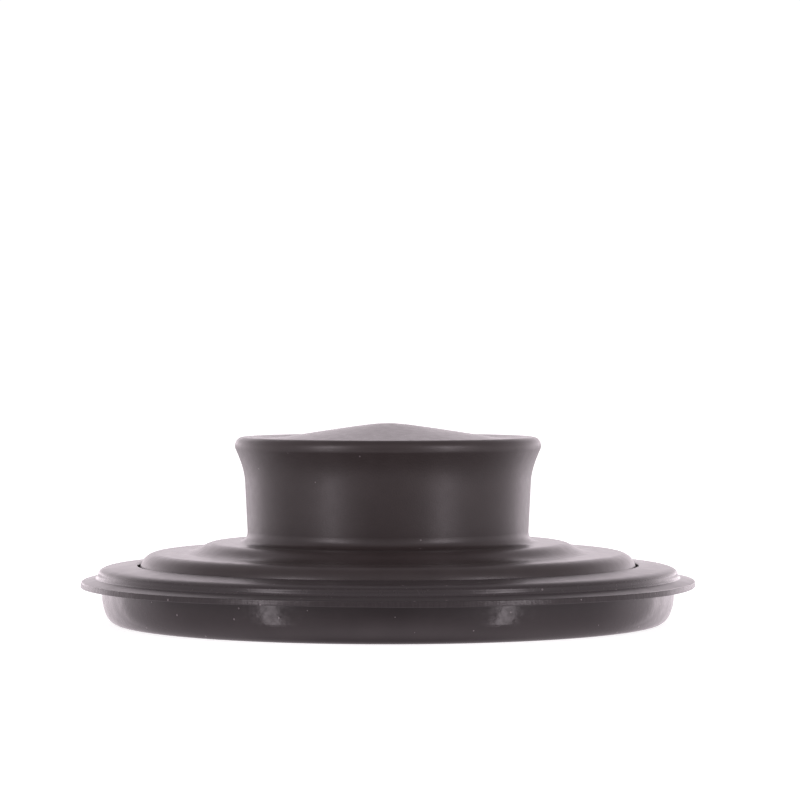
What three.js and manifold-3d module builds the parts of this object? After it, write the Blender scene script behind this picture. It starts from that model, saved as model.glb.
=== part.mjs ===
// Sink stopper for a waste-disposer drain: a hollow pressed-steel knob with a flared skirt,
// screwed through a ribbed support disc to a moulded rubber seal that has a thin sealing fin.
// Millimetres, +Z up. The origin is on the axis, in the flat underside that the stopper stands on.
import * as THREE from "three";
import { mergeVertices } from "three/addons/utils/BufferGeometryUtils.js";
import Module from "manifold-3d";

// ---- driving dimensions ----
const SEGMENTS = 48; // facets round a visible turned piece
const INNER_SEGMENTS = 40; // facets round a hidden one
const SMALL_SEGMENTS = 28; // facets round a piece under 12 mm
const FIT = 0.15; // clearance between nested pieces
const SHEET = 0.8; // pressed steel of the knob and skirt

// knob, outer surface
const DOME_TOP_Z = 27.82;
const DOME_SLOPE = 0.158; // fall of the shallow cone per mm of radius
const DOME_NOSE = 2.5; // rounding of its apex
const DOME_EDGE_R = 16; // where the cone runs into the dished ring
const DISH_R = 17.5; // the dished ring's lowest part
const DISH_Z = 25.53;
const DISH_OUTER = { r: 19.2, fall: 0.1 }; // where it rises to the rim
const RIM_TOP_Z = 25.9;
const RIM_R = 21.47;
const RIM_ROUND = 1.2;
const RIM_TUCK = THREE.MathUtils.degToRad(24); // how far the rim's rounding turns under
const FLARE_PULL = { r: 0.95, z: 2.15 }; // how the neck curves in below the rim
const WAIST_PULL = { r: 0.06, z: 1.5 };
const WAIST_TOP = { r: 20.03, z: 19.4 };
const WAIST_FOOT = { r: 19.7, z: 12.7 };
const SHOULDER = { inner: 21.3, outer: 24.3, z: 11.17 };
const FILLET_PULL = { r: 0.6, z: 0.5, rise: 0.04 }; // the hollow between the neck and the shoulder
const SKIRT = { inner: 28.3, outer: 32.3, z: 9.75 };
const STEP_PULL = { out: 1.6, back: 1.9, fall: 0.05, rise: 0.12 }; // S-curve from shoulder to skirt
const SKIRT_EDGE_R = 34.7;
const SKIRT_EDGE_ROUND = SKIRT_EDGE_R - SKIRT.outer;
const SKIRT_EDGE_Z = 7.2; // lower edge of the turned-down rim

// seal
const FIN_R = 42.95;
const FIN = { low: 5.1, high: 5.85, rootHigh: 6.4, tip: 0.2, root: 0.2 }; // tip and root: chamfers
const WALL_R = 40.0; // plug body below the fin
const FOOT_R = 37.9; // flat ring that the stopper stands on
const FOOT_RISE = 4.0; // height of the body's rounded foot
const LIP = { inner: 35.05, innerZ: 8.12, outer: 39.0, outerZ: 7.75, side: 40.5, sideZ: 6.9 };
const LIP_PULL = { r: 0.9, z: 0.45, fall: 0.08 }; // how full its rounded shoulder is
const LIP_EDGE = 0.3; // chamfer of its inner edge
const GROOVE = { r: 36.9, low: 3.3, high: 6.8 }; // holds the support disc's edge
const FLOOR_Z = GROOVE.low; // upper face of the seal's floor
const PLATE_SEAT = { r: 25.2, z: 1.5 }; // recess for the backing plate
const RUBBER_CHAMFER = 0.4;

// backing plate, pressed, with a cup for the screw head
const PLATE = { r: 25.0, low: 0.3, t: 1.2 };
const CUP = { mouth: 11.5, roof: 8.5, depth: 3.6 };
const SCREW_HOLE_R = 2.75;
const CUP_RUBBER = 1.8; // rubber between the cup and the support disc's hub

// support disc
const RIB_COUNT = 12;
const RIB_T = 1.4;
const WEB_T = 1.8;
const HUB_R = 10.5;
const RIM_RING_R = 32.3; // inside of its solid edge

// knob core
const CORE_FOOT_Z = 10.35;
const CORE_HEAD = { z: 24.55, underside: 22.7, r: 20.1 };
const CORE_WALL = 1.8;
const CORE_BOSS_R = 6.2;
const CORE_RIB_COUNT = 8;
const CORE_RIB_T = 1.5;

// M5 screw, spring washer and threaded insert
const SHANK_R = 2.45;
const SCREW_LENGTH = 16;
const HEAD = { r: 5.5, h: 2.3, edge: 0.7 };
const WASHER = { inner: 2.65, outer: 4.6, t: 1.2, split: 0.7 };
const INSERT = { r: 3.7, bore: 2.6, z: 10.5, length: 10, flats: 24, notch: 0.25 };
const RECESS = { r: 2.7, arm: 1.05, depth: 1.5 }; // cross recess in the screw head

const wasm = await Module();
wasm.setup();

// ---- shape helpers ----

const point = (r, z) => new THREE.Vector2(r, z);

// Turns an outline (radius, height) about the Z axis.
function turned(outline, segments = SEGMENTS) {
  return new THREE.LatheGeometry(outline, segments).rotateX(Math.PI / 2);
}

// Joins stretches of an outline and drops repeated points.
function joined(...stretches) {
  const all = stretches.flat();
  return all.filter((p, i) => i === 0 || p.distanceTo(all[i - 1]) > 0.02);
}

// The outline moved sideways by `distance`, towards its left as it is walked when positive.
function offset(outline, distance) {
  return outline.map((p, i) => {
    const before = outline[Math.max(i - 1, 0)];
    const after = outline[Math.min(i + 1, outline.length - 1)];
    const way = after.clone().sub(before).normalize();
    return point(Math.max(p.x - way.y * distance, 0), p.y + way.x * distance);
  });
}

// Every other point of an outline, with both ends kept.
function thinned(outline) {
  return outline.filter((p, i) => i % 2 === 0 || i === outline.length - 1);
}

function solid(geometry) {
  const bare = geometry.index ? geometry.clone() : geometry;
  bare.deleteAttribute("normal");
  bare.deleteAttribute("uv");
  const merged = mergeVertices(bare, 1e-4);
  return new wasm.Manifold(
    new wasm.Mesh({
      numProp: 3,
      vertProperties: merged.attributes.position.array,
      triVerts: new Uint32Array(merged.index.array),
    }),
  );
}

function geometryOf(manifold) {
  const mesh = manifold.getMesh();
  const positions = new Float32Array(mesh.numVert * 3);
  for (let i = 0; i < mesh.numVert; i++) {
    const start = i * mesh.numProp;
    positions.set(mesh.vertProperties.subarray(start, start + 3), i * 3);
  }
  return new THREE.BufferGeometry()
    .setAttribute("position", new THREE.BufferAttribute(positions, 3))
    .setIndex(new THREE.BufferAttribute(mesh.triVerts, 1));
}

// A straight bar that lies along a radius, turned to `angle`.
function radialBar(from, to, low, high, thickness, angle) {
  return new THREE.BoxGeometry(to - from, thickness, high - low)
    .translate((from + to) / 2, 0, (low + high) / 2)
    .rotateZ(angle);
}

// ---- knob shell ----

const domeZ = (r) =>
  DOME_TOP_Z - DOME_SLOPE * (Math.hypot(r, DOME_NOSE) - DOME_NOSE);

// Outer surface of the knob, from the apex out to the skirt's turned-down edge.
function knobSurface() {
  const dome = [0, 2, 4, 8, 12, DOME_EDGE_R].map((r) => point(r, domeZ(r)));
  const roundR = RIM_R - RIM_ROUND;
  const roundZ = RIM_TOP_Z - RIM_ROUND;
  const dish = new THREE.SplineCurve([
    dome.at(-1),
    point(DISH_R, DISH_Z),
    point(DISH_OUTER.r, RIM_TOP_Z - DISH_OUTER.fall),
    point(roundR, RIM_TOP_Z),
  ]);
  const rim = new THREE.EllipseCurve(
    roundR, roundZ, RIM_ROUND, RIM_ROUND, Math.PI / 2, -RIM_TUCK, true,
  );
  const tuck = rim.getPoint(1);
  const flare = new THREE.CubicBezierCurve(
    tuck,
    point(tuck.x - FLARE_PULL.r, tuck.y - FLARE_PULL.z),
    point(WAIST_TOP.r + WAIST_PULL.r, WAIST_TOP.z + WAIST_PULL.z),
    point(WAIST_TOP.r, WAIST_TOP.z),
  );
  const fillet = new THREE.CubicBezierCurve(
    point(WAIST_FOOT.r, WAIST_FOOT.z),
    point(WAIST_FOOT.r, SHOULDER.z + FILLET_PULL.z),
    point(WAIST_FOOT.r + FILLET_PULL.r, SHOULDER.z + FILLET_PULL.rise),
    point(SHOULDER.inner, SHOULDER.z),
  );
  const step = new THREE.CubicBezierCurve(
    point(SHOULDER.outer, SHOULDER.z),
    point(SHOULDER.outer + STEP_PULL.out, SHOULDER.z - STEP_PULL.fall),
    point(SKIRT.inner - STEP_PULL.back, SKIRT.z + STEP_PULL.rise),
    point(SKIRT.inner, SKIRT.z),
  );
  const edge = new THREE.EllipseCurve(
    SKIRT.outer, SKIRT.z - SKIRT_EDGE_ROUND, SKIRT_EDGE_ROUND, SKIRT_EDGE_ROUND, Math.PI / 2, 0, true,
  );
  return joined(
    dome,
    dish.getPoints(4),
    rim.getPoints(5),
    flare.getPoints(4),
    fillet.getPoints(4),
    step.getPoints(5),
    edge.getPoints(5),
    [point(SKIRT_EDGE_R, SKIRT_EDGE_Z)],
  );
}

function knobShell() {
  const outside = knobSurface();
  const inside = offset(outside, -SHEET);
  inside.at(-1).y = SKIRT_EDGE_Z;
  return turned([...outside, ...thinned(inside).reverse()].reverse());
}

// ---- knob core: fills the waist, and its wide head is trapped above the waist ----

function knobCore() {
  const bed = offset(knobSurface(), -(SHEET + FIT));
  const side = bed.filter((p) => p.y < CORE_HEAD.z && p.y > WAIST_FOOT.z - 0.1 && p.x > 18 && p.x <= 20.6);
  const outline = [
    point(0, CORE_HEAD.z),
    point(CORE_HEAD.r - 0.5, CORE_HEAD.z),
    ...thinned(side.filter((p) => p.y < CORE_HEAD.z - 0.5)),
    point(WAIST_FOOT.r - SHEET - FIT, CORE_FOOT_Z + 0.8),
    point(WAIST_FOOT.r - SHEET - FIT - 0.5, CORE_FOOT_Z),
    point(0, CORE_FOOT_Z),
  ];
  let core = solid(turned(outline.reverse(), INNER_SEGMENTS));
  const pocketLow = CORE_FOOT_Z - 1;
  const pocketHigh = CORE_HEAD.underside;
  const pocketR = WAIST_FOOT.r - SHEET - FIT - CORE_WALL;
  let pockets = solid(
    turned([
      point(CORE_BOSS_R + 0.2, pocketLow),
      point(pocketR, pocketLow),
      point(pocketR, pocketHigh),
      point(CORE_BOSS_R, pocketHigh),
      point(CORE_BOSS_R + 0.2, pocketLow),
    ], INNER_SEGMENTS),
  );
  for (let i = 0; i < CORE_RIB_COUNT; i++) {
    const angle = (i / CORE_RIB_COUNT) * 2 * Math.PI;
    pockets = pockets.subtract(
      solid(radialBar(CORE_BOSS_R - 1, pocketR + 1, pocketLow - 1, pocketHigh + 1, CORE_RIB_T, angle)),
    );
  }
  core = core.subtract(pockets);
  const seat = turned(
    [
      point(0, INSERT.z - 1),
      point(INSERT.r + FIT, INSERT.z - 1),
      point(INSERT.r + FIT, INSERT.z + INSERT.length + FIT),
      point(0, INSERT.z + INSERT.length + FIT),
    ],
    SMALL_SEGMENTS,
  );
  return geometryOf(core.subtract(solid(seat)));
}

// ---- threaded insert, grooved lengthways so that it can't turn in the core ----

function threadedInsert() {
  const profile = new THREE.Shape();
  for (let i = 0; i < 2 * INSERT.flats; i++) {
    const angle = (i / INSERT.flats) * Math.PI;
    const r = i % 2 ? INSERT.r - INSERT.notch : INSERT.r;
    profile[i ? "lineTo" : "moveTo"](r * Math.cos(angle), r * Math.sin(angle));
  }
  profile.closePath();
  profile.holes.push(new THREE.Path().absarc(0, 0, INSERT.bore, 0, 2 * Math.PI, true));
  return new THREE.ExtrudeGeometry(profile, {
    depth: INSERT.length, bevelEnabled: false, curveSegments: SMALL_SEGMENTS / 2,
  }).translate(0, 0, INSERT.z);
}

// ---- support disc: carries the skirt's edge and spreads the screw's pull over the seal ----

function supportDisc() {
  const bed = offset(knobSurface(), -(SHEET + FIT));
  const top = bed.filter((p) => p.x > SHOULDER.inner && p.y < SHOULDER.z && p.y > SKIRT_EDGE_Z + 0.4);
  const hubLow = PLATE.low + CUP.depth + PLATE.t + CUP_RUBBER + FIT;
  const ledge = SKIRT_EDGE_Z - FIT;
  const shoulderTop = CORE_FOOT_Z - FIT;
  const low = GROOVE.low + FIT;
  const grip = GROOVE.r - FIT;
  const outline = [
    point(SCREW_HOLE_R, hubLow),
    point(HUB_R - 0.3, hubLow),
    point(HUB_R, shoulderTop - WEB_T),
    point(SHOULDER.outer, shoulderTop - WEB_T),
    point(SKIRT.inner, SKIRT.z - SHEET - FIT - WEB_T),
    point(RIM_RING_R, SKIRT.z - SHEET - FIT - WEB_T),
    point(RIM_RING_R, low),
    point(grip - 0.5, low),
    point(grip, low + 0.5),
    point(grip, GROOVE.high - FIT),
    point(LIP.inner - 0.1, GROOVE.high - FIT),
    point(LIP.inner - 0.1, ledge),
    point(top.at(-1).x, ledge),
    ...thinned(top).reverse(),
    point(SHOULDER.inner, shoulderTop),
    point(SCREW_HOLE_R, shoulderTop),
    point(SCREW_HOLE_R, hubLow),
  ];
  let disc = solid(turned(outline, INNER_SEGMENTS));
  const ribStart = CUP.mouth + PLATE.t + CUP_RUBBER + 0.6;
  for (let i = 0; i < RIB_COUNT; i++) {
    const angle = ((i + 0.5) / RIB_COUNT) * 2 * Math.PI;
    const inner = radialBar(ribStart, SHOULDER.outer, low, shoulderTop - WEB_T + 0.2, RIB_T, angle);
    const outer = radialBar(
      SHOULDER.outer - 0.5, RIM_RING_R + 0.5, low, SKIRT.z - SHEET - FIT - WEB_T + 0.2, RIB_T, angle,
    );
    disc = disc.add(solid(inner)).add(solid(outer));
  }
  return geometryOf(disc);
}

// ---- rubber seal ----

function seal() {
  const foot = new THREE.EllipseCurve(
    FOOT_R, FOOT_RISE, WALL_R - FOOT_R, FOOT_RISE, -Math.PI / 2, 0, false,
  );
  const lipRound = new THREE.CubicBezierCurve(
    point(LIP.outer, LIP.outerZ),
    point(LIP.outer + LIP_PULL.r, LIP.outerZ - LIP_PULL.fall),
    point(LIP.side, LIP.sideZ + LIP_PULL.z),
    point(LIP.side, LIP.sideZ),
  );
  const cupTop = PLATE.low + CUP.depth + PLATE.t;
  const cupRoofR = CUP.roof + PLATE.t * 0.6 + FIT;
  const cupMouthR = CUP.mouth + PLATE.t * 0.6 + FIT;
  return turned(
    joined(
      [
        point(SCREW_HOLE_R, cupTop),
        point(cupRoofR, cupTop),
        point(cupMouthR, PLATE_SEAT.z),
        point(PLATE_SEAT.r, PLATE_SEAT.z),
        point(PLATE_SEAT.r, RUBBER_CHAMFER),
        point(PLATE_SEAT.r + RUBBER_CHAMFER, 0),
      ],
      foot.getPoints(6),
      [
        point(WALL_R, FIN.low - FIN.root),
        point(WALL_R + FIN.root, FIN.low),
        point(FIN_R - FIN.tip, FIN.low),
        point(FIN_R, FIN.low + FIN.tip),
        point(FIN_R, FIN.high - FIN.tip),
        point(FIN_R - FIN.tip, FIN.high),
        point(LIP.side + FIN.root, FIN.rootHigh),
        point(LIP.side, FIN.rootHigh + FIN.root),
      ],
      lipRound.getPoints(4).reverse(),
      [
        point(LIP.inner + LIP_EDGE, LIP.innerZ),
        point(LIP.inner, LIP.innerZ - LIP_EDGE),
        point(LIP.inner, GROOVE.high),
        point(GROOVE.r, GROOVE.high),
        point(GROOVE.r, GROOVE.low + RUBBER_CHAMFER),
        point(GROOVE.r - RUBBER_CHAMFER, GROOVE.low),
        point(cupMouthR + CUP_RUBBER, FLOOR_Z),
        point(cupRoofR + CUP_RUBBER * 0.6, cupTop + CUP_RUBBER),
        point(SCREW_HOLE_R, cupTop + CUP_RUBBER),
        point(SCREW_HOLE_R, cupTop),
      ],
    ),
  );
}

// ---- backing plate ----

function backingPlate() {
  const roof = PLATE.low + CUP.depth;
  const slant = PLATE.t * 0.6;
  const top = PLATE.low + PLATE.t - FIT / 3;
  return turned(
    [
      point(SCREW_HOLE_R, roof),
      point(CUP.roof, roof),
      point(CUP.mouth, PLATE.low + 0.2),
      point(CUP.mouth + 0.5, PLATE.low),
      point(PLATE.r - 0.3, PLATE.low),
      point(PLATE.r, PLATE.low + 0.3),
      point(PLATE.r, top),
      point(CUP.mouth + slant, top),
      point(CUP.roof + slant, roof + PLATE.t - FIT / 3),
      point(SCREW_HOLE_R, roof + PLATE.t - FIT / 3),
      point(SCREW_HOLE_R, roof),
    ],
    INNER_SEGMENTS,
  );
}

// ---- spring washer and screw ----

const HEAD_TOP_Z = PLATE.low + CUP.depth - WASHER.t - FIT; // clamping face of the screw's head

function springWasher() {
  const low = HEAD_TOP_Z + FIT / 2;
  const ring = solid(
    turned(
      [
        point(WASHER.inner, low),
        point(WASHER.outer, low),
        point(WASHER.outer, low + WASHER.t),
        point(WASHER.inner, low + WASHER.t),
        point(WASHER.inner, low),
      ],
      SMALL_SEGMENTS,
    ),
  );
  const cut = new THREE.BoxGeometry(4, WASHER.split, 4)
    .rotateX(THREE.MathUtils.degToRad(25))
    .translate((WASHER.inner + WASHER.outer) / 2, 0, low + WASHER.t / 2);
  return geometryOf(ring.subtract(solid(cut)));
}

function retainingScrew() {
  const headLow = HEAD_TOP_Z - HEAD.h;
  const crown = new THREE.EllipseCurve(
    0, HEAD_TOP_Z - HEAD.edge, HEAD.r, HEAD.h - HEAD.edge, -Math.PI / 2, 0, false,
  );
  const tip = HEAD_TOP_Z + SCREW_LENGTH;
  const body = solid(
    turned(
      [
        ...crown.getPoints(6),
        point(HEAD.r, HEAD_TOP_Z),
        point(SHANK_R, HEAD_TOP_Z),
        point(SHANK_R, tip - 0.7),
        point(SHANK_R - 0.7, tip),
        point(0, tip),
      ],
      SMALL_SEGMENTS,
    ),
  );
  const arms = [0, Math.PI / 2].map((angle) =>
    solid(
      new THREE.BoxGeometry(2 * RECESS.r, RECESS.arm, 2 * RECESS.depth)
        .rotateZ(angle)
        .translate(0, 0, headLow),
    ),
  );
  return geometryOf(arms.reduce((left, arm) => left.subtract(arm), body));
}

// ---- materials and assembly ----

const matteBlackCoat = new THREE.MeshStandardMaterial({ color: 0x2b2728, roughness: 0.5, metalness: 0.1 });
const blackRubber = new THREE.MeshStandardMaterial({ color: 0x252223, roughness: 0.35, metalness: 0 });
const blackNylon = new THREE.MeshStandardMaterial({ color: 0x1d1d1e, roughness: 0.6, metalness: 0 });
const stainless = new THREE.MeshStandardMaterial({ color: 0xb9b9b6, roughness: 0.32, metalness: 1 });
const brass = new THREE.MeshStandardMaterial({ color: 0xc2a05a, roughness: 0.35, metalness: 1 });

const stopper = new THREE.Group();

function place(name, geometry, material) {
  const mesh = new THREE.Mesh(geometry, material);
  mesh.name = name;
  stopper.add(mesh);
}

place("knob_shell", knobShell(), matteBlackCoat);
place("knob_core", knobCore(), blackNylon);
place("threaded_insert", threadedInsert(), brass);
place("support_disc", supportDisc(), blackNylon);
place("seal", seal(), blackRubber);
place("backing_plate", backingPlate(), stainless);
place("spring_washer", springWasher(), stainless);
place("retaining_screw", retainingScrew(), stainless);

export default stopper;
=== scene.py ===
"""Sink stopper: matte black pressed knob and skirt, seated in a black rubber plug with a thin fin.

Outlines are (radius, height) in millimetres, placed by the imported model's boxes, and are turned
about the Z axis into metres.
"""

import math

import bpy
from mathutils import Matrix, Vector, noise


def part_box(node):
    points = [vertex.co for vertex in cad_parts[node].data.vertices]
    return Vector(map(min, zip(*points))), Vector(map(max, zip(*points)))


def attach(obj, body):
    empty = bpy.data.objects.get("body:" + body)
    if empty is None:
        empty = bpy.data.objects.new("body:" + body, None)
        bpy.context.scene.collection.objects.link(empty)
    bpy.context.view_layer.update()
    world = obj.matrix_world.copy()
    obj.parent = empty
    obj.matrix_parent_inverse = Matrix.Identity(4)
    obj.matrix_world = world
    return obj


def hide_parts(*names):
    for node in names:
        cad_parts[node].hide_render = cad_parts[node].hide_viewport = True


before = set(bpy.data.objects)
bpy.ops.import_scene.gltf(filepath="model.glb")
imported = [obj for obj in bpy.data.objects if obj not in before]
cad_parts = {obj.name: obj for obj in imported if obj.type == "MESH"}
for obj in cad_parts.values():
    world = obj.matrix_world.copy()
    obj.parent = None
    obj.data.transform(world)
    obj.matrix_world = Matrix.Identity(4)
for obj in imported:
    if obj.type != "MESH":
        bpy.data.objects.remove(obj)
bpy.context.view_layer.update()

MM = 0.001
SEGMENTS = 288  # facets round a visible piece
SMALL_SEGMENTS = 96  # facets round the screw and its washer


def box_mm(node):
    """Outer radius, lowest and highest point of a turned CAD node, in millimetres."""
    low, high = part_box(node)
    return high.x / MM, low.z / MM, high.z / MM


# ---- sizes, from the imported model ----
SKIRT_EDGE_R, SKIRT_EDGE_Z, APEX_Z = box_mm("knob_shell")
FIN_R, _, LIP_TOP_Z = box_mm("seal")
PLATE_R, PLATE_LOW, PLATE_HIGH = box_mm("backing_plate")
HEAD_R, HEAD_LOW, SCREW_TIP_Z = box_mm("retaining_screw")
WASHER_R, WASHER_LOW, WASHER_HIGH = box_mm("spring_washer")
SHEET = 0.8  # pressed steel of the knob
FIN_LOW, FIN_HIGH, FIN_ROOT_HIGH = 5.1, 5.85, 6.4
LIP_SIDE_R = FIN_R - 2.45

# ---- outlines ----


def arc(centre_r, centre_z, radius_r, radius_z, start, end, steps):
    """Points on an ellipse, from one angle to another in degrees; 0 points outwards, 90 up."""
    points = []
    for i in range(steps + 1):
        angle = math.radians(start + (end - start) * i / steps)
        points.append((centre_r + radius_r * math.cos(angle), centre_z + radius_z * math.sin(angle)))
    return points


def bezier(a, b, c, d, steps):
    """Points on a cubic curve from a to d, pulled towards b and c."""
    points = []
    for i in range(steps + 1):
        t = i / steps
        s = 1 - t
        weights = (s**3, 3 * s * s * t, 3 * s * t * t, t**3)
        points.append(tuple(sum(w * p[k] for w, p in zip(weights, (a, b, c, d))) for k in (0, 1)))
    return points


def rounded(corners, steps=6):
    """Points along straight edges between corners (r, z, rounding)."""
    points = []
    for i, (r, z, rounding) in enumerate(corners):
        here = Vector((r, z))
        if rounding == 0 or i in (0, len(corners) - 1):
            points.append((r, z))
            continue
        back = (Vector(corners[i - 1][:2]) - here).normalized()
        ahead = (Vector(corners[i + 1][:2]) - here).normalized()
        half = back.angle(ahead) / 2
        reach = rounding / math.tan(half)
        start, end = here + back * reach, here + ahead * reach
        for k in range(steps + 1):
            t = k / steps
            points.append(tuple(start * (1 - t) ** 2 + here * 2 * t * (1 - t) + end * t * t))
    return points


def joined(*stretches, gap=0.01):
    """Stretches of an outline as one list, without points that fall on each other."""
    points = []
    for point in (p for stretch in stretches for p in stretch):
        if not points or math.dist(point, points[-1]) > gap:
            points.append(point)
    return points


def braced(outline, brace=0.06, longest=1.0):
    """The outline with extra points: close to both ends of a long edge, and along it."""
    points = [outline[0]]
    for a, b in zip(outline, outline[1:]):
        length = math.dist(a, b)
        stops = []
        if length > 4 * brace:
            inner = max(1, math.ceil((length - 2 * brace) / longest))
            stops = [brace + (length - 2 * brace) * k / inner for k in range(inner + 1)]
        points += [(a[0] + (b[0] - a[0]) * s / length, a[1] + (b[1] - a[1]) * s / length) for s in stops]
        points.append(b)
    return points


def moved_in(outline, distance):
    """The outline moved towards its right by a distance."""
    points = []
    for i, (r, z) in enumerate(outline):
        a = outline[max(i - 1, 0)]
        b = outline[min(i + 1, len(outline) - 1)]
        length = math.dist(a, b)
        points.append((max(r + (b[1] - a[1]) / length * distance, 0), z - (b[0] - a[0]) / length * distance))
    return points


# ---- meshes ----


def new_piece(name, vertices, faces):
    mesh = bpy.data.meshes.new(name)
    mesh.from_pydata(vertices, [], faces)
    mesh.validate()
    mesh.polygons.foreach_set("use_smooth", [True] * len(mesh.polygons))
    mesh.update()
    piece = bpy.data.objects.new(name, mesh)
    bpy.context.scene.collection.objects.link(piece)
    return piece


def turned(name, outline, segments=SEGMENTS, shape=None):
    """Turns an outline into a solid. It starts and ends on the axis, or else closes on itself.

    shape(r, z, angle) gives the (r, z) of a point that stands a little out of round.
    """
    on_axis = outline[0][0] == 0
    vertices, faces, rings = [], [], []
    for r, z in outline:
        first = len(vertices)
        if r == 0:
            vertices.append((0, 0, z * MM))
            rings.append([first] * segments)
            continue
        for k in range(segments):
            angle = 2 * math.pi * k / segments
            real_r, real_z = shape(r, z, angle) if shape else (r, z)
            vertices.append((real_r * math.cos(angle) * MM, real_r * math.sin(angle) * MM, real_z * MM))
        rings.append([first + k for k in range(segments)])
    pairs = list(zip(rings, rings[1:]))
    if not on_axis:
        pairs.append((rings[-1], rings[0]))
    for low, high in pairs:
        for k in range(segments):
            n = (k + 1) % segments
            corners = [low[k], low[n], high[n], high[k]]
            faces.append(list(dict.fromkeys(corners)))
    return new_piece(name, vertices, faces)


# ---- node helpers ----


def new_material(name):
    material = bpy.data.materials.new(name)
    material.use_nodes = True
    tree = material.node_tree
    shader = tree.nodes["Principled BSDF"]
    return material, tree, shader


def add(tree, kind, settings=None, **inputs):
    """A node with its settings and inputs; an input is a value or another node's socket."""
    node = tree.nodes.new(kind)
    for key, value in (settings or {}).items():
        setattr(node, key, value)
    for key, value in inputs.items():
        socket = node.inputs[int(key[1:])] if key[0] == "i" and key[1:].isdigit() else node.inputs[key]
        if isinstance(value, bpy.types.NodeSocket):
            tree.links.new(value, socket)
        else:
            socket.default_value = value
    return node


def maths(tree, operation, a, b=0.0):
    return add(tree, "ShaderNodeMath", {"operation": operation}, i0=a, i1=b).outputs[0]


def object_place(tree):
    return add(tree, "ShaderNodeTexCoord").outputs["Object"]


def grain(tree, place, per_metre, detail=3.0, roughness=0.55):
    """Noise from 0 to 1 whose grains are 1 / per_metre across."""
    node = add(tree, "ShaderNodeTexNoise", Vector=place, Scale=per_metre, Detail=detail, Roughness=roughness)
    return node.outputs["Fac"]


def spread(tree, value, low, high, from_low=0.3, from_high=0.7):
    node = add(tree, "ShaderNodeMapRange", i0=value, i1=from_low, i2=from_high, i3=low, i4=high)
    return node.outputs[0]


def blend_colour(tree, amount, first, second):
    node = add(tree, "ShaderNodeMix", {"data_type": "RGBA"})
    for socket, value in ((node.inputs[0], amount), (node.inputs[6], first), (node.inputs[7], second)):
        if isinstance(value, bpy.types.NodeSocket):
            tree.links.new(value, socket)
        else:
            socket.default_value = value
    return node.outputs[2]


def specks(tree, place, per_metre, size, share):
    """1 on sparse round specks: size is their radius in cells, share the part of cells with one."""
    cell = add(tree, "ShaderNodeTexVoronoi", Vector=place, Scale=per_metre)
    near = maths(tree, "LESS_THAN", cell.outputs["Distance"], size)
    red = add(tree, "ShaderNodeSeparateColor", i0=cell.outputs["Color"]).outputs[0]
    chosen = maths(tree, "LESS_THAN", red, share)
    return maths(tree, "MULTIPLY", near, chosen)


def between(tree, value, start, end):
    """0 up to the start and 1 from the end on, both in millimetres; they may run downwards."""
    return spread(tree, value, 0, 1, start * MM, end * MM)


def radius_from(tree, axes):
    """Distance from the Z axis."""
    squares = [maths(tree, "MULTIPLY", axes.outputs[k], axes.outputs[k]) for k in (0, 1)]
    return maths(tree, "SQRT", maths(tree, "ADD", *squares))


def bumped(tree, shader, height, depth):
    node = add(tree, "ShaderNodeBump", Height=height, Distance=depth, Strength=1.0)
    tree.links.new(node.outputs[0], shader.inputs["Normal"])


# ---- materials ----

DUST = (0.17, 0.15, 0.155, 1)
COAT_DARK, COAT_LIGHT = (0.031, 0.023, 0.022, 1), (0.038, 0.029, 0.028, 1)
RUBBER_DARK, RUBBER_LIGHT = (0.033, 0.027, 0.028, 1), (0.040, 0.033, 0.034, 1)
CUT_DARK, CUT_LIGHT = (0.031, 0.026, 0.027, 1), (0.040, 0.034, 0.035, 1)
# paler rubber colour for the fin's top: painted light that lifts the shade in the corner where the ring's
# side meets the fin
FIN_TOP_PAINTED_LIFT = (0.052, 0.046, 0.047, 1)
NYLON_DARK, NYLON_LIGHT = (0.012, 0.012, 0.012, 1), (0.020, 0.020, 0.021, 1)
PLUG_ROUGHNESS = (0.08, 0.21)
RING_ROUGHNESS = (0.34, 0.38)
RING_SIDE_SATIN = 0.45  # the ring's side: 0 would be as glossy as the plug, 1 as satin as the ring's top
RING_TOP_DEPTH = (0.7, 0.95)  # millimetres below the ring's top where it turns into its side
TRIMMED_ROUGHNESS = 0.18


def matte_coat():
    """Fine-grained matte black baked coat, warm in tone."""
    material, tree, shader = new_material("matte_black_coat")
    shader.inputs["IOR"].default_value = 1.6
    place = object_place(tree)
    mottle = spread(tree, grain(tree, place, 260), 0, 1)
    colour = blend_colour(tree, mottle, COAT_DARK, COAT_LIGHT)
    dust = specks(tree, place, 500, size=0.06, share=0.22)
    tree.links.new(blend_colour(tree, dust, colour, DUST), shader.inputs["Base Color"])
    tree.links.new(spread(tree, grain(tree, place, 900), 0.33, 0.38), shader.inputs["Roughness"])
    bumped(tree, shader, grain(tree, place, 5200, 2.0), 0.012 * MM)
    return material


def rubber_roughness(tree, place, height, above_fin, trimmed):
    """Glossy on the plug, satin on the ring and the fin's top, in between on the ring's side."""
    plug = spread(tree, grain(tree, place, 1300), *PLUG_ROUGHNESS, 0.35, 0.65)
    ring = spread(tree, grain(tree, place, 420), *RING_ROUGHNESS)
    start, end = ((LIP_TOP_Z - depth) * MM for depth in RING_TOP_DEPTH)
    on_ring = spread(tree, height, 1, RING_SIDE_SATIN, start, end)
    on_fin = between(tree, height, FIN_ROOT_HIGH, FIN_ROOT_HIGH - 0.1)
    satin = maths(tree, "MULTIPLY", above_fin, maths(tree, "MAXIMUM", on_ring, on_fin))
    added = maths(tree, "MULTIPLY", satin, maths(tree, "SUBTRACT", ring, plug))
    smooth = maths(tree, "ADD", plug, added)
    return maths(tree, "MAXIMUM", smooth, maths(tree, "MULTIPLY", trimmed, TRIMMED_ROUGHNESS))


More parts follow.
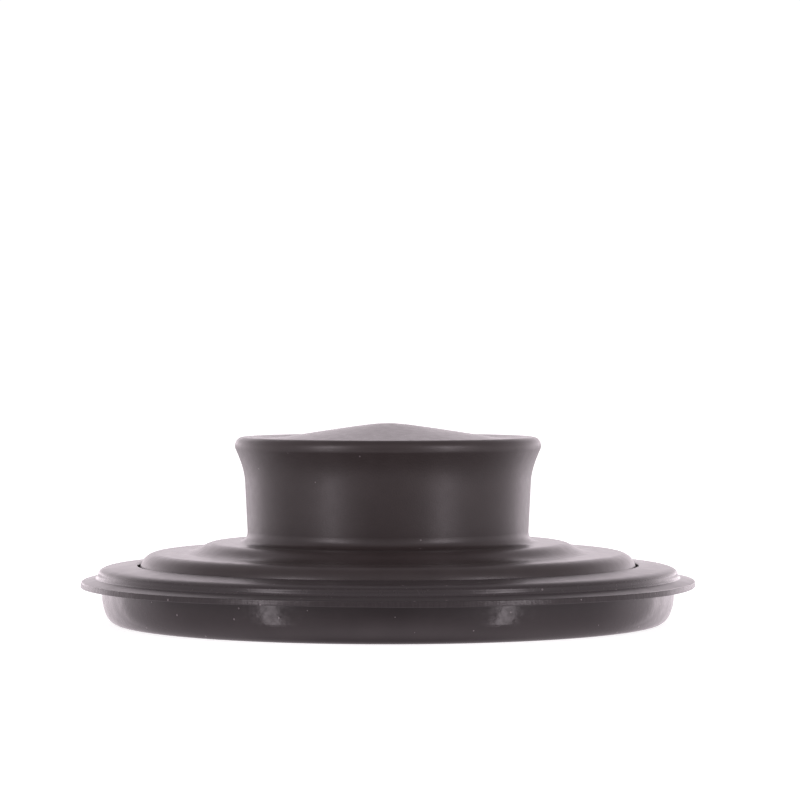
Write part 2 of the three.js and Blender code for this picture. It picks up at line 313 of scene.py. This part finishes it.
def rubber():
    """Moulded black rubber with the strokes of trimming on its edge, and a paler colour on the fin's top:
    painted light that lifts the shade by the ring.
    """
    material, tree, shader = new_material("black_rubber")
    place = object_place(tree)
    axes = add(tree, "ShaderNodeSeparateXYZ", i0=place)
    height = axes.outputs[2]
    radius = radius_from(tree, axes)
    above_fin = between(tree, height, FIN_HIGH - 0.08, FIN_HIGH + 0.02)
    trimmed = between(tree, radius, FIN_R - 0.35, FIN_R - 0.2)
    round_about = add(tree, "ShaderNodeCombineXYZ", X=axes.outputs[0], Y=axes.outputs[1]).outputs[0]
    strokes = grain(tree, round_about, 3300, 2.0, 0.7)

    mottle = spread(tree, grain(tree, place, 180), 0, 1)
    moulded = blend_colour(tree, mottle, RUBBER_DARK, RUBBER_LIGHT)
    # painted light: the fin's top, just outside the ring, takes a paler colour that lifts the shade in the
    # corner by the ring
    outside_ring = between(tree, radius, LIP_SIDE_R - 0.15, LIP_SIDE_R + 0.1)
    fin_top_painted_lift_mask = maths(tree, "MULTIPLY", above_fin, outside_ring)
    moulded = blend_colour(tree, fin_top_painted_lift_mask, moulded, FIN_TOP_PAINTED_LIFT)
    cut = blend_colour(tree, spread(tree, strokes, 0, 1, 0.4, 0.65), CUT_DARK, CUT_LIGHT)
    colour = blend_colour(tree, trimmed, moulded, cut)
    dust = specks(tree, place, 600, size=0.085, share=0.8)
    tree.links.new(blend_colour(tree, dust, colour, DUST), shader.inputs["Base Color"])

    rough = rubber_roughness(tree, place, height, above_fin, trimmed)
    tree.links.new(rough, shader.inputs["Roughness"])
    skin_depth = spread(tree, above_fin, 0.4, 0.06, 0, 1)
    skin = maths(tree, "MULTIPLY", grain(tree, place, 1500, 3.0), skin_depth)
    relief = maths(tree, "ADD", skin, maths(tree, "MULTIPLY", strokes, trimmed))
    bumped(tree, shader, relief, 0.03 * MM)
    return material


def nylon():
    """Moulded black nylon with a fine grain."""
    material, tree, shader = new_material("black_nylon")
    place = object_place(tree)
    colour = blend_colour(tree, grain(tree, place, 300), NYLON_DARK, NYLON_LIGHT)
    tree.links.new(colour, shader.inputs["Base Color"])
    tree.links.new(spread(tree, grain(tree, place, 1100), 0.5, 0.62), shader.inputs["Roughness"])
    bumped(tree, shader, grain(tree, place, 3000), 0.02 * MM)
    return material


def turned_metal(name, dark, light, low, high):
    """Bare metal with fine strokes that run round the axis."""
    material, tree, shader = new_material(name)
    place = object_place(tree)
    axes = add(tree, "ShaderNodeSeparateXYZ", i0=place)
    strokes = add(tree, "ShaderNodeCombineXYZ", X=radius_from(tree, axes), Z=axes.outputs[2]).outputs[0]
    lines = grain(tree, strokes, 9000, 2.0)
    tree.links.new(blend_colour(tree, grain(tree, place, 120), dark, light), shader.inputs["Base Color"])
    tree.links.new(spread(tree, lines, low, high), shader.inputs["Roughness"])
    shader.inputs["Metallic"].default_value = 1.0
    bumped(tree, shader, lines, 0.004 * MM)
    return material


COAT = matte_coat()
RUBBER = rubber()
NYLON = nylon()
STAINLESS = turned_metal("stainless", (0.50, 0.50, 0.49, 1), (0.60, 0.60, 0.59, 1), 0.22, 0.36)
BRASS = turned_metal("brass", (0.56, 0.39, 0.15, 1), (0.66, 0.48, 0.20, 1), 0.25, 0.4)


def dress(piece, material):
    piece.data.materials.clear()
    piece.data.materials.append(material)


def stand_for(piece, node, material):
    """The piece takes the CAD node's place on the stopper's one body."""
    dress(piece, material)
    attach(piece, "root")
    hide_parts(node)


# ---- knob and skirt ----

DOME_SLOPE = 0.158
DOME_NOSE = 2.5
DOME_EDGE_R = 16.0
RIM_TOP_Z = APEX_Z - 1.92
RIM_R = 21.47
RIM_ROUND = 1.2
RIM_TUCK = 24
WAIST_TOP = (20.03, RIM_TOP_Z - 6.55)
WAIST_FOOT = (19.7, SKIRT_EDGE_Z + 5.5)
SHOULDER_Z = SKIRT_EDGE_Z + 3.97
SHOULDER_R = (21.3, 24.3)
SKIRT_Z = SKIRT_EDGE_Z + 2.55
SKIRT_R = (28.3, SKIRT_EDGE_R - 2.4)


def knob_outline():
    """The knob's outer surface, from its apex to the skirt's turned-down edge."""
    dome = []
    for i in range(17):
        r = DOME_EDGE_R * i / 16
        dome.append((r, APEX_Z - DOME_SLOPE * (math.hypot(r, DOME_NOSE) - DOME_NOSE)))
    round_r = RIM_R - RIM_ROUND
    edge_z = dome[-1][1]
    dish = bezier(
        dome[-1],
        (DOME_EDGE_R + 1.6, edge_z - 1.6 * DOME_SLOPE),
        (round_r - 1.6, RIM_TOP_Z),
        (round_r, RIM_TOP_Z),
        16,
    )
    rim = arc(round_r, RIM_TOP_Z - RIM_ROUND, RIM_ROUND, RIM_ROUND, 90, -RIM_TUCK, 20)
    tuck_r, tuck_z = rim[-1]
    flare = bezier(
        rim[-1],
        (tuck_r - 0.95, tuck_z - 2.15),
        (WAIST_TOP[0] + 0.06, WAIST_TOP[1] + 1.5),
        WAIST_TOP,
        20,
    )
    fillet = bezier(
        WAIST_FOOT,
        (WAIST_FOOT[0], SHOULDER_Z + 0.5),
        (WAIST_FOOT[0] + 0.6, SHOULDER_Z + 0.04),
        (SHOULDER_R[0], SHOULDER_Z),
        16,
    )
    step = bezier(
        (SHOULDER_R[1], SHOULDER_Z),
        (SHOULDER_R[1] + 1.6, SHOULDER_Z - 0.05),
        (SKIRT_R[0] - 1.9, SKIRT_Z + 0.12),
        (SKIRT_R[0], SKIRT_Z),
        16,
    )
    edge_round = SKIRT_EDGE_R - SKIRT_R[1]
    edge = arc(SKIRT_R[1], SKIRT_Z - edge_round, edge_round, edge_round, 90, 0, 18)
    return joined(dome, dish, rim, flare, fillet, step, edge, [(SKIRT_EDGE_R, SKIRT_EDGE_Z)])


def make_knob():
    """Knob and skirt as one pressed sheet, open from below."""
    outside = braced(knob_outline())
    inside = moved_in(outside, SHEET)[:-1:4] + [(SKIRT_EDGE_R - SHEET, SKIRT_EDGE_Z)]
    piece = turned("knob_and_skirt", (outside + inside[::-1])[::-1])
    stand_for(piece, "knob_shell", COAT)


# ---- rubber plug ----

WALL_R = FIN_R - 2.95
FOOT_R = WALL_R - 2.1
FOOT_RISE = 4.0
FIN_SLANT = 0.1  # the trimmed edge leans out towards its lower side
FIN_WAVES = ((3, 0.05, 0.6), (7, 0.035, 2.1))  # waves round the fin, height, phase
TRIM_NOISE = ((9, 0.05, 1.7), (60, 0.03, 4.2))  # fineness, size, layer of the noise
TRIM_SPARE = 0.05  # how far the edge stands out on average
LIP_SHOULDER = (LIP_SIDE_R - 1.5, LIP_TOP_Z - 0.37)
LIP_SIDE_Z = LIP_TOP_Z - 1.22
GROOVE_R = SKIRT_EDGE_R + 2.2
GROOVE_Z = (3.3, 6.8)
SCREW_HOLE_R = 2.75
RUBBER_OVER_CUP = 1.8
RUBBER_CUP_R = (9.37, 12.37)  # clears the plate's cup by 0.15
PLATE_PLAY = 0.2  # between the plate's edge and the rubber round it
CUP_PLAY = 0.05  # between the cup and the rubber over it
PLATE_T = 1.2


def fin_shape(r, z, angle):
    """The thin fin stands a little uneven, and its trimmed edge isn't quite round."""
    out = max(0.0, min(1.0, (r - LIP_SIDE_R) / (FIN_R - LIP_SIDE_R)))
    if out == 0:
        return r, z
    lift = sum(size * math.sin(waves * angle + phase) for waves, size, phase in FIN_WAVES)
    trim = 0.0
    for fine, size, layer in TRIM_NOISE:
        trim += size * noise.noise(Vector((fine * math.cos(angle), fine * math.sin(angle), layer)))
    return r + (trim + TRIM_SPARE) * out**4, z + lift * out * out


def make_seal():
    """The rubber plug with its recess below, its fin, and the ring round the skirt's edge."""
    plate_r = PLATE_R + PLATE_PLAY
    seat_z = PLATE_LOW + PLATE_T
    cup_top = PLATE_HIGH + CUP_PLAY
    cup_r = RUBBER_CUP_R
    foot = arc(FOOT_R, FOOT_RISE, WALL_R - FOOT_R, FOOT_RISE, -90, 0, 20)
    below = rounded([
        (SCREW_HOLE_R, cup_top, 0),
        (cup_r[0], cup_top, 0.3),
        (cup_r[1], seat_z, 0.3),
        (plate_r, seat_z, 0.15),
        (plate_r, 0.0, 0.4),
        (FOOT_R, 0.0, 0),
    ])
    side = rounded([
        (WALL_R, FOOT_RISE, 0),
        (WALL_R, FIN_LOW, 0.15),
        (FIN_R, FIN_LOW, 0.12),
        (FIN_R - FIN_SLANT, FIN_HIGH, 0.14),
        (LIP_SIDE_R + 0.05, FIN_ROOT_HIGH, 0.58),
        (LIP_SIDE_R, LIP_SIDE_Z, 0),
    ])
    lip_round = bezier(
        (LIP_SIDE_R, LIP_SIDE_Z),
        (LIP_SIDE_R, LIP_SIDE_Z + 0.45),
        (LIP_SHOULDER[0] + 0.9, LIP_SHOULDER[1] - 0.08),
        LIP_SHOULDER,
        14,
    )
    inside = rounded([
        (*LIP_SHOULDER, 0),
        (SKIRT_EDGE_R + 0.35, LIP_TOP_Z, 0.35),
        (SKIRT_EDGE_R + 0.35, GROOVE_Z[1], 0.1),
        (GROOVE_R, GROOVE_Z[1], 0.2),
        (GROOVE_R, GROOVE_Z[0], 0.4),
        (cup_r[1] + RUBBER_OVER_CUP, GROOVE_Z[0], 0.4),
        (cup_r[0] + 0.6 * RUBBER_OVER_CUP, cup_top + RUBBER_OVER_CUP, 0.4),
        (SCREW_HOLE_R, cup_top + RUBBER_OVER_CUP, 0),
    ])
    outline = braced(joined(below, foot, side, lip_round, inside))
    piece = turned("rubber_plug", outline, shape=fin_shape)
    stand_for(piece, "seal", RUBBER)


# ---- backing plate, washer and screw ----

CUP_MOUTH_R = 11.5
CUP_ROOF_R = 8.5
CUP_DEPTH = PLATE_HIGH - PLATE_LOW - PLATE_T


def make_plate():
    """The pressed plate, with a cup in its middle for the screw's head."""
    roof = PLATE_LOW + CUP_DEPTH
    slant = 0.6 * PLATE_T
    outline = rounded([
        (SCREW_HOLE_R, roof, 0),
        (CUP_ROOF_R, roof, 0.5),
        (CUP_MOUTH_R, PLATE_LOW, 0.6),
        (PLATE_R, PLATE_LOW, 0.35),
        (PLATE_R, PLATE_LOW + PLATE_T, 0.15),
        (CUP_MOUTH_R + slant, PLATE_LOW + PLATE_T, 0.4),
        (CUP_ROOF_R + slant, PLATE_HIGH, 0.4),
        (SCREW_HOLE_R, PLATE_HIGH, 0),
    ])
    piece = turned("plate", braced(outline))
    stand_for(piece, "backing_plate", STAINLESS)


HEAD_H = 2.3
HEAD_EDGE = 0.7
SHANK_R = 2.45
THREAD_PITCH = 0.8
THREAD_DEPTH = 0.35
THREAD_LOW = HEAD_LOW + HEAD_H + 3.0
THREAD_STEP = 0.1  # between the rings of points that make the thread
TIP_CHAMFER = 0.7
CROSS_MOUTH = (2.7, 0.52)  # half length and half width of an arm of the cross
CROSS_FLOOR = (1.5, 0.3)
CROSS_DEPTH = 1.5
SHARP_EDGE = 35  # degrees; edges sharper than this stay crisp


def thread_shape(r, z, angle):
    """Cuts a screw thread into the shank, from THREAD_LOW up."""
    if r != SHANK_R or z < THREAD_LOW:
        return r, z
    turn = (z / THREAD_PITCH - angle / (2 * math.pi)) % 1.0
    return r - THREAD_DEPTH * abs(2 * turn - 1), z


def cross_cutter(low):
    """A tapering cross, wide at the head's face and narrow at its floor."""
    vertices = []
    for z, (arm, half) in ((low - 0.5, CROSS_MOUTH), (low + CROSS_DEPTH, CROSS_FLOOR)):
        quarter = ((half, half), (half, arm), (-half, arm))
        for turn in range(4):
            c, s = round(math.cos(turn * math.pi / 2)), round(math.sin(turn * math.pi / 2))
            vertices += [((c * x - s * y) * MM, (s * x + c * y) * MM, z * MM) for x, y in quarter]
    ring = range(12)
    faces = [tuple(reversed(ring)), tuple(12 + k for k in ring)]
    faces += [(k, (k + 1) % 12, 12 + (k + 1) % 12, 12 + k) for k in ring]
    return new_piece("cross_cutter", vertices, faces)


def cut_away(piece, cutter):
    """Takes the cutter's volume out of the piece."""
    cut = piece.modifiers.new("cut", "BOOLEAN")
    cut.object = cutter
    cut.operation = "DIFFERENCE"
    cut.solver = "EXACT"
    graph = bpy.context.evaluated_depsgraph_get()
    mesh = bpy.data.meshes.new_from_object(piece.evaluated_get(graph))
    mesh.set_sharp_from_angle(angle=math.radians(SHARP_EDGE))
    piece.modifiers.clear()
    piece.data = mesh
    bpy.data.objects.remove(cutter)


def make_screw():
    """A domed head with a cross recess below, and a threaded shank above it."""
    clamp_z = HEAD_LOW + HEAD_H
    crown = arc(0, clamp_z - HEAD_EDGE, HEAD_R, HEAD_H - HEAD_EDGE, -90, 0, 24)
    crown[0] = (0, HEAD_LOW)
    steps = round((SCREW_TIP_Z - TIP_CHAMFER - THREAD_LOW) / THREAD_STEP)
    thread = [(SHANK_R, THREAD_LOW + THREAD_STEP * k) for k in range(steps)]
    neck = rounded([
        (HEAD_R, clamp_z - HEAD_EDGE, 0),
        (HEAD_R, clamp_z, 0.12),
        (SHANK_R, clamp_z, 0.1),
        (SHANK_R, THREAD_LOW, 0),
    ])
    tip = [(SHANK_R - TIP_CHAMFER, SCREW_TIP_Z), (0, SCREW_TIP_Z)]
    outline = joined(crown, neck, thread, tip)
    piece = turned("screw", outline, SMALL_SEGMENTS, thread_shape)
    cut_away(piece, cross_cutter(HEAD_LOW))
    stand_for(piece, "retaining_screw", STAINLESS)


WASHER_BORE_R = 2.65
WASHER_GAP = 11  # degrees
WASHER_LEAN = 25  # degrees the cut leans from upright


def make_washer():
    """A split ring, pressed flat."""
    middle = (WASHER_LOW + WASHER_HIGH) / 2
    section = rounded([
        (WASHER_BORE_R, middle, 0),
        (WASHER_BORE_R, WASHER_LOW, 0.12),
        (WASHER_R, WASHER_LOW, 0.12),
        (WASHER_R, WASHER_HIGH, 0.12),
        (WASHER_BORE_R, WASHER_HIGH, 0.12),
        (WASHER_BORE_R, middle, 0),
    ], 3)[:-1]
    count = len(section)
    vertices, faces = [], []
    for k in range(SMALL_SEGMENTS + 1):
        along = math.radians(WASHER_GAP / 2 + (360 - WASHER_GAP) * k / SMALL_SEGMENTS)
        for r, z in section:
            angle = along + math.tan(math.radians(WASHER_LEAN)) * (z - middle) / r
            vertices.append((r * math.cos(angle) * MM, r * math.sin(angle) * MM, z * MM))
    for k in range(SMALL_SEGMENTS):
        here, ahead = k * count, (k + 1) * count
        for i in range(count):
            n = (i + 1) % count
            faces.append((here + i, ahead + i, ahead + n, here + n))
    last = SMALL_SEGMENTS * count
    faces += [tuple(range(count)), tuple(reversed(range(last, last + count)))]
    piece = new_piece("washer", vertices, faces)
    stand_for(piece, "spring_washer", STAINLESS)


make_knob()
make_seal()
make_plate()
make_screw()
make_washer()

KEPT = {
    "knob_core": (NYLON, "black_nylon"),
    "threaded_insert": (BRASS, "brass"),
    "support_disc": (NYLON, "black_nylon"),
}
for node, (material, slot) in KEPT.items():
    dress(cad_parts[node], material)

# ---- stage ----

WHITE = (1, 1, 1, 1)
FLOOR_HALF = 8.0
FLOOR_DROP = 0.02 * MM  # keeps the floor clear of the plug's underside
CAMERA_WHITE = 1.05  # brightness of the white that the camera sees behind the stopper
STUDIO_TINT = (1.0, 0.90, 0.96, 1)
# brightness of the studio's walls, by azimuth in degrees from the camera's side
WALLS = (
    (0, 0.3), (25, 0.45), (40, 0.7), (85, 0.68), (97, 0.75), (108, 1.05), (120, 1.3),
    (127, 1.45), (131, 1.7), (134, 2.6), (137, 2.6), (141, 1.75), (145, 2.1), (148, 2.1), (152, 1.6),
    (163, 1.25), (180, 1.1),
)
WALL_FADE = (4, 35)  # elevations in degrees between which the walls give way to the soft fill
# extra brightness of the backdrop, by elevation in degrees
BACKDROP = ((0, 0), (2, 1.9), (6, 1.4), (11, 0.9), (25, 0.9), (36, 0))
BACKDROP_AZIMUTH = (140, 165)  # it rises from nothing to full brightness between these degrees
FILL_BELOW, FILL_ABOVE = 0.85, 0.48
FILL_TURN = (-0.7, -0.1)  # sines of the elevations between which the fill changes
LEFT_SHARE, RIGHT_SHARE = 0.98, 1.12  # brightness of the walls at far left and far right
SHARE_SPAN = 0.8  # sideways part of a direction where a side's share is reached in full
ZENITH = (55, 80, 0.5)  # the fill dims between these elevations, to this part of its brightness
SOFTBOX_AZIMUTH = 46
LENS, SENSOR = 150.85, 36  # millimetres
EYE = (0, -0.470, 0.0373)
LOOK_AT = (0.00168, 0, 0.03104)


def make_floor():
    """A white floor that only the camera sees; the stopper itself stands in the studio's light."""
    half = FLOOR_HALF
    corners = [(-half, -half, 0), (half, -half, 0), (half, half, 0), (-half, half, 0)]
    floor = new_piece("floor", corners, [(0, 1, 2, 3)])
    material, tree, shader = new_material("white_floor")
    shader.inputs["Base Color"].default_value = (0.8, 0.8, 0.8, 1)
    shader.inputs["Roughness"].default_value = 1.0
    shader.inputs["Specular IOR Level"].default_value = 0.0
    shader.inputs["Emission Color"].default_value = WHITE
    shader.inputs["Emission Strength"].default_value = 0.8
    floor.data.materials.append(material)
    floor.location.z = -FLOOR_DROP
    floor.visible_diffuse = False
    floor.visible_glossy = False
    floor.visible_shadow = False


def by_angle(tree, angle, table):
    """Reads a table of (degrees, level) at an angle from 0 to 180 degrees."""
    highest = max(level for _, level in table)
    ramp = add(tree, "ShaderNodeValToRGB", i0=maths(tree, "DIVIDE", angle, math.pi))
    stops = ramp.color_ramp.elements
    stops.remove(stops[1])
    for i, (degrees, level) in enumerate(table):
        stop = stops.new(degrees / 180) if i else stops[0]
        stop.position = degrees / 180
        stop.color = (level / highest,) * 3 + (1,)
    return maths(tree, "MULTIPLY", ramp.outputs[0], highest)


def make_world():
    """Bright walls behind the stopper, dim ones in front, and plain white for the camera."""
    world = bpy.data.worlds.new("studio")
    bpy.context.scene.world = world
    world.use_nodes = True
    tree = world.node_tree
    tree.nodes.clear()
    place = add(tree, "ShaderNodeTexCoord").outputs["Generated"]
    way = add(tree, "ShaderNodeSeparateXYZ", i0=place)
    aside = maths(tree, "ABSOLUTE", way.outputs[0])
    ahead = maths(tree, "MULTIPLY", way.outputs[1], -1.0)
    azimuth = maths(tree, "ARCTAN2", aside, ahead)
    elevation = maths(tree, "ARCSINE", way.outputs[2])
    steep = maths(tree, "ABSOLUTE", elevation)
    sides = spread(tree, way.outputs[0], LEFT_SHARE, RIGHT_SHARE, -SHARE_SPAN, SHARE_SPAN)
    walls = maths(tree, "MULTIPLY", by_angle(tree, azimuth, WALLS), sides)
    behind = spread(tree, azimuth, 0, 1, *(math.radians(degrees) for degrees in BACKDROP_AZIMUTH))
    backdrop = maths(tree, "MULTIPLY", by_angle(tree, elevation, BACKDROP), behind)
    low, high = (math.radians(degrees) for degrees in WALL_FADE)
    wall_share = spread(tree, steep, 1.0, 0.0, low, high)
    fill = spread(tree, way.outputs[2], FILL_BELOW, FILL_ABOVE, *FILL_TURN)
    dimmed = spread(tree, steep, 1.0, ZENITH[2], math.radians(ZENITH[0]), math.radians(ZENITH[1]))
    fill_share = maths(tree, "MULTIPLY", maths(tree, "SUBTRACT", 1.0, wall_share), dimmed)
    level = maths(tree, "MULTIPLY", walls, wall_share)
    level = maths(tree, "ADD", level, maths(tree, "MULTIPLY", fill, fill_share))
    level = maths(tree, "ADD", level, backdrop)
    studio = add(tree, "ShaderNodeBackground", Color=STUDIO_TINT, Strength=level)
    plain = add(tree, "ShaderNodeBackground", Color=WHITE, Strength=CAMERA_WHITE)
    seen = add(tree, "ShaderNodeLightPath").outputs["Is Camera Ray"]
    mixed = add(tree, "ShaderNodeMixShader", i0=seen, i1=studio.outputs[0], i2=plain.outputs[0])
    output = add(tree, "ShaderNodeOutputWorld")
    tree.links.new(mixed.outputs[0], output.inputs[0])


def softbox(name, azimuth, width, radiance, low=-0.35, high=0.45, distance=0.7):
    """An upright softbox from low to high. Azimuth 0 is the camera's side, positive to its right."""
    light = bpy.data.lights.new(name, "AREA")
    light.shape = "RECTANGLE"
    light.size = width
    light.size_y = high - low
    light.energy = radiance * math.pi * width * (high - low)
    light.color = STUDIO_TINT[:3]
    lamp = bpy.data.objects.new(name, light)
    angle = math.radians(azimuth)
    middle = Vector((distance * math.sin(angle), -distance * math.cos(angle), (low + high) / 2))
    lamp.location = middle
    lamp.rotation_euler = (Vector((0, 0, middle.z)) - middle).to_track_quat("-Z", "Y").to_euler()
    bpy.context.scene.collection.objects.link(lamp)


def make_camera():
    """A little above the knob's top and nearly half a metre away, through a long lens."""
    camera = bpy.data.cameras.new("camera")
    camera.lens = LENS
    camera.sensor_width = SENSOR
    eye = Vector(EYE)
    holder = bpy.data.objects.new("camera", camera)
    holder.location = eye
    holder.rotation_euler = (Vector(LOOK_AT) - eye).to_track_quat("-Z", "Y").to_euler()
    bpy.context.scene.collection.objects.link(holder)
    bpy.context.scene.camera = holder


make_floor()
make_world()
for side, azimuth in (("left", -SOFTBOX_AZIMUTH), ("right", SOFTBOX_AZIMUTH)):
    softbox(side + "_softbox", azimuth, width=0.08, radiance=3.0)
    softbox(side + "_softbox_top", azimuth, width=0.14, radiance=5.0, low=0.14, high=0.50)
make_camera()
bpy.context.scene.view_settings.view_transform = "Standard"
